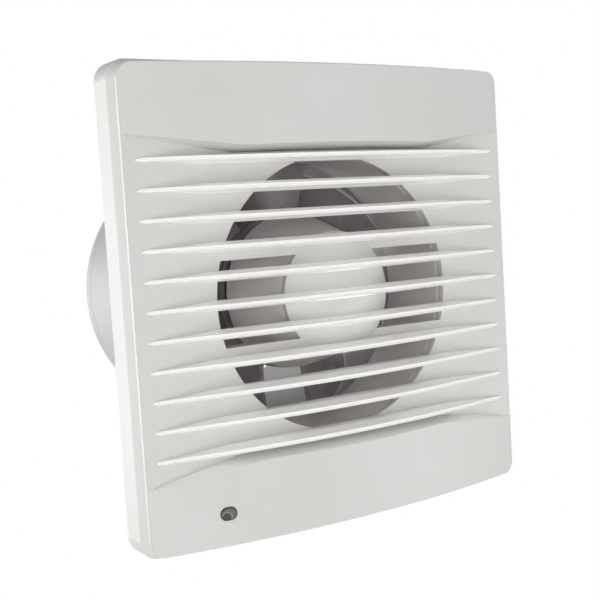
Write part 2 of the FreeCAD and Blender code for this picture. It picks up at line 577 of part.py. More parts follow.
# Motor carrier: inlet sleeve, two pairs of arms and the tapered pod that holds the motor.
def motor_carrier():
    sleeve = revolve("sleeve", [
        (SLEEVE_INNER, f"-{LIP_BACK}"), (SLEEVE_OUTER, f"-{LIP_BACK}"), (SLEEVE_OUTER, "sleeve_rear"),
        (SLEEVE_INNER, "sleeve_rear"),
    ])
    lip = revolve("lip", [
        (f"{SLEEVE_INNER} + lip_round", f"-{LIP_FRONT}"), (LIP_OUTER, f"-{LIP_FRONT}"),
        (LIP_OUTER, f"lip_skirt - {LIP_FRONT}"),
        ("neck_radius + sleeve_clearance", f"lip_skirt - {LIP_FRONT}"),
        ("neck_radius + sleeve_clearance", f"-{LIP_BACK}"), (SLEEVE_INNER, f"-{LIP_BACK}"),
        (SLEEVE_INNER, f"lip_round - {LIP_FRONT}", "-lip_round"),
    ])
    pod = revolve("pod", [
        ("0", f"-{POD_FRONT}"), ("dome_radius", f"-{POD_FRONT}"), ("pod_rear_radius", "pod_rear"),
        ("0", "pod_rear"),
    ])
    rise = f"((pod_rear_radius - dome_radius) / (pod_rear + {POD_FRONT}))"
    room = revolve("pod_room", [
        ("0", f"pod_front_wall - {POD_FRONT}"),
        (f"dome_radius - pod_wall + {rise} * pod_front_wall", f"pod_front_wall - {POD_FRONT}"),
        (f"pod_rear_radius - pod_wall + {rise} * overrun", "pod_rear + overrun"),
        ("0", "pod_rear + overrun"),
    ])
    span = f"({SLEEVE_OUTER} - sleeve_wall / 2)"
    arms = []
    for name, level in (("arm_top", "arm_height"), ("arm_low", "-arm_height")):
        bar = box(name, (f"-{span}", "-arm_front", f"{level} - arm_thickness / 2"),
                  (f"2 * {span}", "arm_depth", "arm_thickness"))
        inside = rod(name + "_limit", ("0", "-duct_front", "0"), span, "sleeve_rear + duct_front")
        arms.append(common(name + "_trim", bar, inside))
    ear_place = ("ear_circle", "-(ear_seat + ear_thickness)", "0")
    ear = fuse("ear", rod("ear_round", ear_place, "ear_radius", "ear_thickness"),
               box("ear_root",
                   (f"{LIP_OUTER} - sleeve_wall / 2", "-(ear_seat + ear_thickness)", "-ear_radius"),
                   (f"ear_circle - {LIP_OUTER} + sleeve_wall / 2", "ear_thickness", "2 * ear_radius")))
    ear_hole = rod("ear_hole", ("ear_circle", "-(ear_seat + ear_thickness + overrun)", "0"),
                   "carrier_screw_radius + screw_clearance", "ear_thickness + 2 * overrun")
    post_front = f"(pod_front_wall - {POD_FRONT})"
    bracket_front = f"({STACK_MIDDLE} - {BRACKET_HALF})"
    post = rod("motor_post", ("motor_screw_circle", post_front, "0"), "post_radius",
               f"{bracket_front} - {post_front}")
    post_hole = rod("motor_post_hole", ("motor_screw_circle", post_front, "0"),
                    "motor_screw_radius + screw_clearance", f"{bracket_front} - {post_front} + overrun")
    hollow = cut("pod_and_arms", fuse("pod_block", pod, *arms), room)
    # One moulding in three simple pieces: the pod on its arms, the sleeve, and the lip with its ears.
    pod_solid = fuse("pod_solid", hollow, *quarters("post_at", post, 45))
    node("motor_carrier", cut("carrier", pod_solid, sleeve, *quarters("post_hole_at", post_hole, 45),
                              lead_window("pod_window", "shaft_radius")))
    node("inlet_sleeve", cut("sleeve_body", sleeve, lead_window("sleeve_window", "bore_radius")))
    lip_solid = fuse("lip_solid", lip, *quarters("ear_at", ear, 45))
    node("inlet_lip", cut("lip_body", lip_solid, *quarters("ear_hole_at", ear_hole, 45)))


def screw(name, across, seat, shank, length, head, rise, way=1):
    """Slotted pan head screw along Y; way 1 drives it towards +Y and -1 towards the room."""
    head_start = f"{seat} - {rise}" if way > 0 else seat
    shank_start = seat if way > 0 else f"{seat} - {length}"
    slot_start = f"{seat} - {rise}" if way > 0 else f"{seat} + {rise} - drive_slot_depth"
    whole = fuse(name + "_blank", rod(name + "_head", (across, head_start, "0"), head, rise),
                 rod(name + "_shank", (across, shank_start, "0"), shank, length))
    slot = box(name + "_slot", (f"{across} - {head} - overrun", slot_start, "-drive_slot_width / 2"),
               (f"2 * ({head} + overrun)", "drive_slot_depth", "drive_slot_width"))
    return cut(name, whole, slot)


def fasteners():
    carrier = screw("carrier_screw", "ear_circle", "-(ear_seat + ear_thickness)", "carrier_screw_radius",
                    "carrier_screw_length", "carrier_head_radius", "carrier_head_rise")
    node("carrier_screws", group("carrier_screw_set", *quarters("carrier_screw_at", carrier, 45)))
    rear_face = f"({STACK_MIDDLE} + {BRACKET_HALF})"
    length = f"({rear_face} - pod_front_wall + {POD_FRONT} - motor_screw_end)"
    motor = screw("motor_screw", "motor_screw_circle", rear_face, "motor_screw_radius", length,
                  "motor_head_radius", "motor_head_rise", -1)
    node("motor_screws", group("motor_screw_set", *quarters("motor_screw_at", motor, 45)))


# Shaded pole motor: four pole stator, rotor on its shaft, two bearing brackets with bushes.
def stator():
    ring = cut("yoke", rod("yoke_outer", ("0", "stack_front", "0"), "core_radius", "stack_length"),
               rod("yoke_inner", ("0", "stack_front - overrun", "0"), "core_radius - yoke_width",
                   "stack_length + 2 * overrun"))
    pole = box("pole", ("0", "stack_front", "-pole_width / 2"),
               ("core_radius - yoke_width / 2", "stack_length", "pole_width"))
    lug = rod("lug", ("motor_screw_circle", "stack_front", "0"), "lug_radius", "stack_length")
    hole = rod("lug_hole", ("motor_screw_circle", "stack_front - overrun", "0"),
               "motor_screw_radius + screw_clearance", "stack_length + 2 * overrun")
    bore = rod("stator_bore", ("0", "stack_front - overrun", "0"), "bore_radius",
               "stack_length + 2 * overrun")
    split = box("shade_split", ("0", "stack_front - overrun", "pole_width / 2 - shade_slot - shade_wire"),
                ("shade_outer", "stack_length + 2 * overrun", "shade_wire"))
    blank = fuse("core_blank", ring, *quarters("pole_at", pole), *quarters("lug_at", lug, 45))
    node("stator_core",
         cut("core", blank, bore, *quarters("lug_hole_at", hole, 45), *quarters("split_at", split)))

    def frame(name, inner_x, outer_x, low, high, around, build):
        """Flat ring round a pole: radial reach, tangential reach, end clearance and build."""
        outer = box(name + "_outer", (inner_x, f"stack_front - {around} - {build}", f"{low} - {build}"),
                    (f"{outer_x} - {inner_x}", f"stack_length + 2 * ({around} + {build})",
                     f"{high} - {low} + 2 * {build}"))
        gap = box(name + "_gap", (f"{inner_x} - overrun", f"stack_front - {around}", low),
                  (f"{outer_x} - {inner_x} + 2 * overrun", f"stack_length + 2 * {around}",
                   f"{high} - {low}"))
        return cut(name, outer, gap)

    half = "(pole_width / 2 + winding_fit)"
    winding_build = "(winding_build - bobbin_wall)"
    sleeve = frame("bobbin_sleeve", "bobbin_inner", "bobbin_outer", f"-{half}", half, "winding_fit",
                   "bobbin_wall")
    cheek_places = {"in": "bobbin_inner", "out": "(bobbin_outer - bobbin_wall)"}
    cheeks = [frame("bobbin_cheek_" + side, start, f"({start} + bobbin_wall)", f"-{half}", half,
                    "winding_fit", "winding_build") for side, start in cheek_places.items()]
    bobbin = fuse("bobbin", sleeve, *cheeks)
    node("coil_bobbins", group("bobbin_set", *quarters("bobbin_at", bobbin)))
    wound = "(pole_width / 2 + 2 * winding_fit + bobbin_wall)"
    winding = frame("winding", "(bobbin_inner + bobbin_wall + winding_fit)",
                    "(bobbin_outer - bobbin_wall - winding_fit)",
                    f"-{wound}", wound, "(bobbin_wall + 2 * winding_fit)",
                    f"({winding_build} - 3 * winding_fit)")
    node("stator_windings", group("winding_set", *quarters("winding_at", winding)))
    shade = frame("shade", "shade_inner", "(shade_outer - winding_fit)",
                  "(pole_width / 2 - shade_slot - winding_fit)", "(pole_width / 2 + winding_fit)",
                  "winding_fit", "(shade_wire - 2 * winding_fit)")
    node("shading_rings", group("shade_set", *quarters("shade_at", shade)))


def bracket(name, label, seat, way):
    """Cross shaped bearing bracket, drawn at the front; the rear one is its mirror."""
    face = f"({STACK_MIDDLE} - {BRACKET_HALF})"
    bars = [box(f"{name}_bar_{i}", ("-motor_screw_circle", face, "-bracket_arm_width / 2"),
                ("2 * motor_screw_circle", "bracket_plate", "bracket_arm_width")) for i in range(2)]
    cross = [turned(f"{name}_cross_{i}", bar, 45 + 90 * i) for i, bar in enumerate(bars)]
    leg = rod(name + "_leg", ("motor_screw_circle", face, "0"), "post_radius", f"stack_front - {face}")
    boss = rod(name + "_boss", ("0", face, "0"), "bracket_boss_radius", "boss_length")
    seat_hole = rod(name + "_seat", ("0", f"{face} - overrun", "0"), "bush_radius",
                    "boss_length + 2 * overrun")
    hole = rod(name + "_hole", ("motor_screw_circle", f"{face} - overrun", "0"),
               "motor_screw_radius + screw_clearance", f"stack_front - {face} + 2 * overrun")
    blank = fuse(name + "_blank", *cross, *quarters(name + "_leg_at", leg, 45), boss)
    whole = cut(name + "_body", blank, seat_hole, *quarters(name + "_hole_at", hole, 45))
    bush = cut(name + "_bush", rod(name + "_bush_outer", ("0", seat, "0"), "bush_radius", "bush_length"),
               rod(name + "_bush_bore", ("0", f"{seat} - overrun", "0"), "shaft_radius + bush_clearance",
                   "bush_length + 2 * overrun"))
    pair = [whole, bush]
    if way < 0:
        mirrored = []
        for thing in pair:
            copy = doc.addObject("Part::Mirroring", thing.Name + "_rear")
            copy.Source = thing
            copy.Normal = Vector(0, 1, 0)
            bind(copy, "Base.y", STACK_MIDDLE)
            mirrored.append(copy)
        pair = mirrored
    node(label + "_bearing_bracket", pair[0])
    node(label + "_bearing", pair[1])


def bearings():
    seat = f"({STACK_MIDDLE} - {BRACKET_HALF} + boss_length - bush_length)"
    bracket("front_bracket", "front", seat, 1)
    bracket("rear_bracket", "rear", seat, -1)


def rotor():
    shaft_start = "-shaft_front"
    shaft_end = "(hub_rear + shaft_stickout)"
    node("motor_shaft", rod("shaft", ("0", shaft_start, "0"), "shaft_radius", f"{shaft_end} + shaft_front"))

    def ring(name, start, outer, inner, length):
        return cut(name, rod(name + "_outer", ("0", start, "0"), outer, length),
                   rod(name + "_bore", ("0", f"{start} - overrun", "0"), inner, f"{length} + 2 * overrun"))

    node("rotor_core",
         ring("laminations", "stack_front", "bore_radius - air_gap", "shaft_radius", "stack_length"))
    rings = [ring(f"end_ring_{i}", start, "end_ring_outer", "end_ring_inner", "end_ring_depth")
             for i, start in enumerate(("stack_front - end_ring_depth", STACK_REAR))]
    node("rotor_end_rings", group("end_ring_set", *rings))
    bush_end = f"({STACK_MIDDLE} - {BRACKET_HALF} + boss_length)"
    far_end = f"({STACK_MIDDLE} + {BRACKET_HALF} - boss_length)"
    washer_places = (f"{bush_end} + washer_gap", f"{far_end} - washer_gap - washer_thickness")
    washers = [ring(f"washer_{i}", start, "washer_radius", "shaft_radius + bush_clearance",
                    "washer_thickness") for i, start in enumerate(washer_places)]
    node("thrust_washers", group("washer_set", *washers))


# Impeller: cup hub with seven twisted, cambered blades trimmed to the duct.
def impeller():
    body = doc.addObject("PartDesign::Body", "impeller_body")
    planes = {f.Role: f for f in body.Origin.OriginFeatures}

    def drawn(name, plane, points):
        sketch = body.newObject("Sketcher::SketchObject", name)
        sketch.AttachmentSupport = [(planes[plane], "")]
        sketch.MapMode = "FlatFace"
        return outline(sketch, points)

    def section_at(name, points, radius, pitch):
        """Blade section in a plane square to the blade, at its radius and pitch."""
        sketch = drawn(name, "YZ_Plane", points)
        sketch.AttachmentOffset = Placement(Vector(), Rotation(Vector(0, 0, 1), 90 - value(pitch)))
        bind(sketch, "AttachmentOffset.Base.x", "blade_middle")
        bind(sketch, "AttachmentOffset.Base.z", radius)
        return sketch

    def profile(name, points):
        """Turned outline whose plane stands midway between two blades."""
        sketch = drawn(name, "XY_Plane", points)
        sketch.AttachmentOffset = Placement(Vector(), Rotation(Vector(0, 1, 0), value("180 / blade_count")))
        return sketch

    def turn_feature(kind, name, sketch):
        feature = body.newObject(kind, name)
        feature.Profile = sketch
        feature.ReferenceAxis = (sketch, ["V_Axis"])
        feature.Angle = 360
        return feature

    turn_feature("PartDesign::Revolution", "hub", profile("hub_profile", [
        ("0", "hub_front"), ("hub_radius", "hub_front"),
        ("hub_radius", "hub_rear - hub_round", "hub_round"),
        ("hub_radius - hub_round", "hub_rear"), ("0", "hub_rear"),
    ]))

    def blade_section(chord, camber):
        side, half = f"({chord} / 2)", "(blade_thickness / 2)"
        return [(f"-{side}", f"-{half}", f"-{camber}"), (side, f"-{half}"), (side, half, camber),
                (f"-{side}", half)]

    tip = f"({BORE_WALL} - tip_clearance)"
    root_place, tip_place = "(hub_radius - 2 * hub_wall - blade_thickness)", f"({tip} + overrun)"
    root = section_at("blade_root", blade_section("root_chord", "root_camber"), root_place, "root_pitch")
    end = section_at("blade_tip", blade_section("tip_chord", "tip_camber"), tip_place, "tip_pitch")
    blade = body.newObject("PartDesign::AdditiveLoft", "blade")
    blade.Profile = root
    blade.Sections = [end]
    blade.Ruled = False
    doc.recompute()
    pattern = body.newObject("PartDesign::PolarPattern", "blades")
    pattern.Originals = [blade]
    axis_points = [("0", "hub_front"), ("hub_radius", "hub_front"), ("hub_radius", "hub_rear")]
    pattern.Axis = (profile("axis_sketch", axis_points), ["V_Axis"])
    pattern.Angle = 360
    bind(pattern, "Occurrences", "blade_count")
    body.Tip = pattern
    doc.recompute()
    far = f"({tip} + 4 * overrun + tip_chord)"
    early, late = "(hub_front - root_chord)", "(hub_rear + root_chord)"
    turn_feature("PartDesign::Groove", "tip_trim", profile("tip_trim_profile", [
        (tip, early), (far, early), (far, late), (tip, late)]))
    doc.recompute()
    inner, floor = "(hub_radius - hub_wall)", "(hub_rear - hub_wall)"
    boss_front = "(hub_rear - hub_boss_length)"
    turn_feature("PartDesign::Groove", "hub_room", profile("hub_room_profile", [
        ("hub_boss_radius", floor), (f"{inner} - hub_round", floor, "-hub_round"),
        (inner, f"{floor} - hub_round"),
        (inner, early), ("shaft_radius", early), ("shaft_radius", boss_front),
        ("hub_boss_radius", boss_front)]))
    doc.recompute()
    turn_feature("PartDesign::Groove", "shaft_bore", profile("shaft_bore_profile", [
        ("0", early), ("shaft_radius", early), ("shaft_radius", late), ("0", late)]))
    doc.recompute()
    body.Placement = Placement(Vector(), Rotation(Vector(0, -1, 0), value("first_blade")))
    node("impeller", body)

    nut = doc.addObject("Part::Prism", "nut_blank")
    nut.Polygon = 6
    nut.Placement = Placement(Vector(), Rotation(Vector(1, 0, 0), -90))
    bind(nut, "Circumradius", "nut_flats / sqrt(3)")
    bind(nut, "Height", "nut_height")
    place(nut, ("0", "hub_rear", "0"))
    hole = rod("nut_bore", ("0", "hub_rear - overrun", "0"), "shaft_radius", "nut_height + 2 * overrun")
    node("impeller_nut", cut("nut", nut, hole))


# Terminal block, cable entry and the inner leads.
def wiring():
    face = "-(flange_thickness + terminal_depth)"
    low = "-terminal_length / 2"
    left = "terminal_right - terminal_width / 2"
    blank = box("terminal_blank", (left, face, low),
                ("terminal_width", "terminal_depth", "terminal_length"))
    entries, wells, screws = [], [], []
    for k in (-1, 0, 1):
        level = f"{k} * terminal_pitch"
        for i, side in enumerate("-+"):
            start = f"terminal_right {side} terminal_width / 2"
            begin = f"{start} - overrun" if side == "-" else f"{start} - terminal_entry_depth"
            ceiling = "-(flange_thickness + terminal_entry_rise + terminal_entry_height)"
            entries.append(box(f"entry_{k + 1}_{i}", (begin, ceiling, f"{level} - terminal_entry / 2"),
                               ("terminal_entry_depth + overrun", "terminal_entry_height",
                                "terminal_entry")))
            across = f"terminal_right {side} terminal_screw_spread / 2"
            wells.append(rod(f"well_{k + 1}_{i}", (across, f"{face} - overrun", level),
                             "terminal_screw_radius + screw_clearance",
                             "terminal_screw_length + terminal_screw_sink + overrun"))
            blade_screw = rod(f"terminal_screw_{k + 1}_{i}",
                              (across, f"{face} + terminal_screw_sink", level),
                              "terminal_screw_radius", "terminal_screw_length")
            slot = box(f"terminal_slot_{k + 1}_{i}", (f"{across} - terminal_screw_radius - overrun",
                                                      f"{face} + terminal_screw_sink",
                                                      f"{level} - drive_slot_width / 2"),
                       ("2 * (terminal_screw_radius + overrun)", "drive_slot_depth", "drive_slot_width"))
            screws.append(cut(f"terminal_screw_cut_{k + 1}_{i}", blade_screw, slot))
    node("terminal_block", cut("terminal_body", blank, *entries, *wells))
    node("terminal_screws", group("terminal_screw_set", *screws))

    brim = rod("grommet_flange", ("cable_right", "-(flange_thickness + grommet_brim_depth)", "-cable_drop"),
               "grommet_brim", "grommet_brim_depth")
    neck = rod("grommet_body", ("cable_right", "-(flange_thickness + grommet_brim_depth)", "-cable_drop"),
               "grommet_neck - grommet_clearance", "flange_thickness + grommet_brim_depth")
    hole = rod("grommet_hole",
               ("cable_right", "-(flange_thickness + grommet_brim_depth + overrun)", "-cable_drop"),
               "grommet_bore", "flange_thickness + grommet_brim_depth + 2 * overrun")
    node("cable_grommet", cut("grommet", fuse("grommet_solid", brim, neck), hole))

    seat = "(flange_thickness + clamp_post_rise)"
    bar = box("clamp_bar",
              ("cable_right - clamp_spread / 2", f"-({seat} + clamp_plate)",
               "-clamp_drop - clamp_width / 2"),
              ("clamp_spread", "clamp_plate", "clamp_width"))
    ends, holes, screws = [], [], []
    for i, side in enumerate("-+"):
        across = f"cable_right {side} clamp_spread / 2"
        ends.append(rod(f"clamp_end_{i}", (across, f"-({seat} + clamp_plate)", "-clamp_drop"),
                        "clamp_width / 2", "clamp_plate"))
        holes.append(rod(f"clamp_bore_{i}", (across, f"-({seat} + clamp_plate + overrun)", "-clamp_drop"),
                         "clamp_screw_radius + screw_clearance", "clamp_plate + 2 * overrun"))
        pin = screw(f"clamp_screw_{i}", across, f"-({seat} + clamp_plate)", "clamp_screw_radius",
                    "clamp_screw_length", "clamp_head_radius", "clamp_head_rise")
        moved = group(f"clamp_screw_at_{i}", pin)
        screws.append(place(moved, ("0", "0", "-clamp_drop")))
    node("cable_clamp", cut("clamp", fuse("clamp_solid", bar, *ends), *holes))
    node("clamp_screws", group("clamp_screw_set", *screws))


# Leads: chosen routes of straight runs joined by arcs, in millimetres.
MOTOR_LEAD_ROUTES = [
    [(5.0, -1.1, 15.6), (5.0, -4.1, 15.6), (53.0, -4.1, 15.6), (53.0, -4.1, 7.0), (56.5, -4.1, 7.0)],
    [(3.0, -1.1, 17.4), (3.0, -4.1, 17.4), (51.4, -4.1, 17.4), (51.4, -4.1, 0.0), (56.5, -4.1, 0.0)],
]
LAMP_LEAD_ROUTES = [
    [(-45.4, -4.1, -62.4), (28.0, -4.1, -62.4), (51.2, -4.1, -31.0), (51.2, -4.1, -7.0),
     (56.5, -4.1, -7.0)],
    [(-45.4, -4.1, -64.2), (28.9, -4.1, -64.2), (52.8, -4.1, -31.6), (52.8, -4.1, -8.9),
     (56.5, -4.1, -8.9)],
]


def lead(route):
    """Round wire along a route; each arc is as large as the named bend allows."""
    points = [Vector(*p) for p in route]
    radius, bend = value("lead_radius"), value("lead_bend")
    edges = []
    here = points[0]
    for before, corner, after in zip(points, points[1:], points[2:]):
        inward, outward = (before - corner).normalize(), (after - corner).normalize()
        half = inward.getAngle(outward) / 2
        trim = bend / math.tan(half)
        start, end = corner + inward * trim, corner + outward * trim
        middle = corner + (inward + outward).normalize() * (bend / math.sin(half) - bend)
        edges += [Part.LineSegment(here, start).toShape(), Part.Arc(start, middle, end).toShape()]
        here = end
    edges.append(Part.LineSegment(here, points[-1]).toShape())
    path = Part.Wire(edges)
    ring = Part.Wire([Part.makeCircle(radius, points[0], points[1] - points[0])])
    solid = path.makePipeShell([ring], True, False)
    print("lead length %.1f, volume share %.3f" % (path.Length,
                                                   solid.Volume / (math.pi * radius ** 2 * path.Length)))
    return solid


def leads():
    for label, routes in (("motor_leads", MOTOR_LEAD_ROUTES), ("lamp_leads", LAMP_LEAD_ROUTES)):
        thing = doc.addObject("Part::Feature", label)
        thing.Shape = Part.makeCompound([lead(route) for route in routes])
        node(label, thing)


def main():
    indicator(grille())
    housing()
    motor_carrier()
    fasteners()
    stator()
    bearings()
    rotor()
    impeller()
    wiring()
    leads()
    doc.recompute()
    failed = [o.Name for o in doc.Objects if {"Invalid", "Error"} & set(o.State)]
    bad = [label for label, o in NODES.items() if o.Shape.isNull() or not o.Shape.isValid()]
    if failed or bad:
        raise RuntimeError("failed objects %s, bad shapes %s" % (failed, bad))
    os.makedirs("parts", exist_ok=True)
    for label, thing in NODES.items():
        thing.Shape.exportStep(f"parts/{label}.step")
        print(label, len(thing.Shape.Solids), "solids, volume %.0f" % thing.Shape.Volume)


main()
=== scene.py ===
import bpy
import math
from mathutils import Euler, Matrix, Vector


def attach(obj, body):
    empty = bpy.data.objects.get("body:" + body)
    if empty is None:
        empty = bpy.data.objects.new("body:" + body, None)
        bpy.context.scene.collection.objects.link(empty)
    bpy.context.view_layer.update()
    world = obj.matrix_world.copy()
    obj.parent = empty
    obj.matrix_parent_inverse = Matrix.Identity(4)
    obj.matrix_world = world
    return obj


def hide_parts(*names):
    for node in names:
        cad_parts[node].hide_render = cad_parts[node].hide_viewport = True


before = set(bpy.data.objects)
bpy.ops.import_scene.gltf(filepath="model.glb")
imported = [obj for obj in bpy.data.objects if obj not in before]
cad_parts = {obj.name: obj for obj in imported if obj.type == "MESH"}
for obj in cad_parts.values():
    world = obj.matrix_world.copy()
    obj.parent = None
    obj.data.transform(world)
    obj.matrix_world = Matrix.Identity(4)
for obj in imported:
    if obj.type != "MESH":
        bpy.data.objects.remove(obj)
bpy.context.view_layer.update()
scene = bpy.context.scene
print("frame loaded,", len(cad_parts), "nodes")

toneUnder, toneOver, toneOut = 6, 7, 2  # a Mix node's colour sockets: two in, one out


# colour from a screen hex value to scene linear
def paint(hexTone):
    parts = [int(hexTone[i:i + 2], 16) / 255 for i in (0, 2, 4)]
    return tuple(c / 12.92 if c < 0.04045 else ((c + 0.055) / 1.055) ** 2.4 for c in parts) + (1.0,)


# each value is an attribute of the node, or else one of its inputs
def addNode(tree, kind, **values):
    made = tree.nodes.new(kind)
    for name, value in values.items():
        if hasattr(made, name):
            setattr(made, name, value)
        else:
            made.inputs[name.replace("_", " ")].default_value = value
    return made


def startMaterial(name):
    mat = bpy.data.materials.new(name)
    mat.use_nodes = True
    tree = mat.node_tree
    shader = tree.nodes["Principled BSDF"]
    place = addNode(tree, "ShaderNodeTexCoord").outputs["Object"]
    return mat, tree, shader, place


# noise in frame metres: grain is the size of one speck
def speckle(tree, place, grain, detail):
    noise = addNode(tree, "ShaderNodeTexNoise", Scale=1.0 / grain, Detail=detail)
    tree.links.new(place, noise.inputs["Vector"])
    return noise.outputs["Fac"]


# noise mostly runs from 0.3 to 0.7, so that is the range taken when none is given
def spread(tree, fac, low, high, fromLow=0.3, fromHigh=0.7):
    band = addNode(tree, "ShaderNodeMapRange")
    for name, value in (("From Min", fromLow), ("From Max", fromHigh), ("To Min", low), ("To Max", high)):
        band.inputs[name].default_value = value
    tree.links.new(fac, band.inputs["Value"])
    return band.outputs["Result"]


def startMix(tree, mask):
    mix = addNode(tree, "ShaderNodeMix", data_type="RGBA")
    tree.links.new(mask, mix.inputs["Factor"])
    return mix


def blendTones(tree, mask, one, two):
    mix = startMix(tree, mask)
    mix.inputs[toneUnder].default_value = paint(one)
    mix.inputs[toneOver].default_value = paint(two)
    return mix.outputs[toneOut]


# one tone laid over another where the mask is on
def overPaint(tree, mask, tone, hexTone):
    mix = startMix(tree, mask)
    tree.links.new(tone, mix.inputs[toneUnder])
    mix.inputs[toneOver].default_value = paint(hexTone)
    return mix.outputs[toneOut]


def emboss(tree, shader, height, strength, depth):
    bump = addNode(tree, "ShaderNodeBump", Strength=strength, Distance=depth)
    tree.links.new(height, bump.inputs["Height"])
    tree.links.new(bump.outputs["Normal"], shader.inputs["Normal"])


def combine(tree, operation, one, two):
    made = addNode(tree, "ShaderNodeMath", operation=operation)
    tree.links.new(one, made.inputs[0])
    tree.links.new(two, made.inputs[1])
    return made.outputs["Value"]


def splitAxes(tree, vector):
    axes = addNode(tree, "ShaderNodeSeparateXYZ")
    tree.links.new(vector, axes.inputs["Vector"])
    return [axes.outputs[axis] for axis in "XYZ"]


# distance from a line along Y, in units of the two half widths
def awayFrom(tree, place, centre, across, up):
    offset = addNode(tree, "ShaderNodeVectorMath", operation="SUBTRACT")
    offset.inputs[1].default_value = centre
    tree.links.new(place, offset.inputs[0])
    scaled = addNode(tree, "ShaderNodeVectorMath", operation="MULTIPLY")
    scaled.inputs[1].default_value = (1 / across, 0, 1 / up)
    tree.links.new(offset.outputs["Vector"], scaled.inputs[0])
    length = addNode(tree, "ShaderNodeVectorMath", operation="LENGTH")
    tree.links.new(scaled.outputs["Vector"], length.inputs[0])
    return length.outputs["Value"]


# slat ridges and the recess's lower lip, painted near white as a painted highlight where they stand ahead of the
# cover's floor
def paintedRidgeHighlight(tree, place, tone, look):
    across, along, height = splitAxes(tree, place)
    half, last, floorAt = look["ridgeHalf"], look["ridgeLast"], look["floorAt"]
    fold = addNode(tree, "ShaderNodeMath", operation="PINGPONG")
    fold.inputs[1].default_value = look["ridgePitch"] / 2
    tree.links.new(height, fold.inputs[0])
    stripe = spread(tree, fold.outputs["Value"], 1.0, 0.0, half, half * look["ridgeSoft"])
    level = addNode(tree, "ShaderNodeMath", operation="ABSOLUTE")
    tree.links.new(height, level.inputs[0])
    within = spread(tree, level.outputs["Value"], 1.0, 0.0, last, last + half)
    depth = addNode(tree, "ShaderNodeMath", operation="MULTIPLY_ADD")  # depth with the floor's bow taken out
    tree.links.new(combine(tree, "MULTIPLY", across, across), depth.inputs[0])
    depth.inputs[1].default_value = look["floorBow"]
    tree.links.new(along, depth.inputs[2])
    fullAt, noneAt = look["ridgeRise"]
    ahead = spread(tree, depth.outputs["Value"], 1.0, 0.0, floorAt - fullAt, floorAt - noneAt)
    upFacing = splitAxes(tree, place.node.outputs["Normal"])[2]
    upward = spread(tree, upFacing, 0.0, 1.0, *look["lipFacing"])
    below = spread(tree, height, 1.0, 0.0, -last - 2 * half, -last - half)
    ridges = combine(tree, "MULTIPLY", stripe, within)
    lip = combine(tree, "MULTIPLY", upward, below)
    # mask of the painted highlight on ridges and lip
    mask = combine(tree, "MULTIPLY", combine(tree, "MAXIMUM", ridges, lip), ahead)
    return overPaint(tree, mask, tone, look["ridgeHighlightTone"])


# painted shade: a dark line in the step near the spigot's end, on the outside only
def paintedStepShade(tree, place, tone, look):
    along = splitAxes(tree, place)[1]
    near, middle, far = look["stepShadeSpan"]
    rise = spread(tree, along, 0.0, 1.0, near, middle)
    fall = spread(tree, along, 1.0, 0.0, middle, far)
    outside = spread(tree, awayFrom(tree, place, (0, 0, 0), 1, 1), 0.0, 1.0, *look["stepShadeRadius"])
    mask = combine(tree, "MULTIPLY", combine(tree, "MULTIPLY", rise, fall), outside)
    return overPaint(tree, mask, tone, look["stepShadeTone"])


# satin moulded plastic: slow tone drift, fine spark grain, uneven gloss
plasticNoise = {"driftDetail": 3.0, "glossShare": 0.4, "glossDetail": 4.0, "grainDetail": 2.0, "ior": 1.5}


def mouldedPlastic(name, look):
    mat, tree, shader, place = startMaterial(name)
    drift = spread(tree, speckle(tree, place, look["driftSize"], plasticNoise["driftDetail"]), 0.0, 1.0)
    tone = blendTones(tree, drift, look["tone"], look["toneDeep"])
    # painted highlight on the slat ridges and the recess's lower lip
    if "ridgeHighlightTone" in look:
        tone = paintedRidgeHighlight(tree, place, tone, look)
    # painted shade line in the spigot's step
    if "stepShadeTone" in look:
        tone = paintedStepShade(tree, place, tone, look)
    tree.links.new(tone, shader.inputs["Base Color"])
    patches = speckle(tree, place, look["driftSize"] * plasticNoise["glossShare"], plasticNoise["glossDetail"])
    tree.links.new(spread(tree, patches, look["glossLow"], look["glossHigh"]), shader.inputs["Roughness"])
    sparks = speckle(tree, place, look["grain"], plasticNoise["grainDetail"])
    emboss(tree, shader, sparks, look["grainStrength"], look["grainDepth"])
    shader.inputs["IOR"].default_value = plasticNoise["ior"]
    return mat


# stained metal with fine marks; packing brings the marks closer together along an axis
metalNoise = {"markDetail": 3.0, "stainDetail": 3.0}


def workedMetal(name, look):
    mat, tree, shader, place = startMaterial(name)
    packed = addNode(tree, "ShaderNodeMapping", vector_type="POINT")
    packed.inputs["Scale"].default_value = look["packing"]
    tree.links.new(place, packed.inputs["Vector"])
    marks = speckle(tree, packed.outputs["Vector"], look["grain"], metalNoise["markDetail"])
    stain = spread(tree, speckle(tree, place, look["stainSize"], metalNoise["stainDetail"]), 0.0, 1.0)
    tree.links.new(blendTones(tree, stain, look["tone"], look["toneDeep"]), shader.inputs["Base Color"])
    tree.links.new(spread(tree, marks, look["glossLow"], look["glossHigh"]), shader.inputs["Roughness"])
    emboss(tree, shader, marks, look["grainStrength"], look["grainDepth"])
    shader.inputs["Metallic"].default_value = 1.0
    return mat


# stamped sheets stacked along the shaft
def sheetStack(name, look):
    mat, tree, shader, place = startMaterial(name)
    waveTurn = 20  # radians that a wave texture of scale 1 turns in one metre
    lines = addNode(tree, "ShaderNodeTexWave", wave_type="BANDS", bands_direction="Y", wave_profile="SIN",
                    Scale=math.tau / (waveTurn * look["sheet"]), Distortion=look["wobble"],
                    Detail=look["wobbleDetail"])
    tree.links.new(place, lines.inputs["Vector"])
    sheets = lines.outputs["Fac"]
    tree.links.new(blendTones(tree, sheets, look["toneDeep"], look["tone"]), shader.inputs["Base Color"])
    stain = speckle(tree, place, look["stainSize"], metalNoise["stainDetail"])
    tree.links.new(spread(tree, stain, look["glossLow"], look["glossHigh"]), shader.inputs["Roughness"])
    emboss(tree, shader, sheets, look["relief"], look["sheet"] * look["reliefShare"])
    shader.inputs["Metallic"].default_value = look["metal"]
    return mat


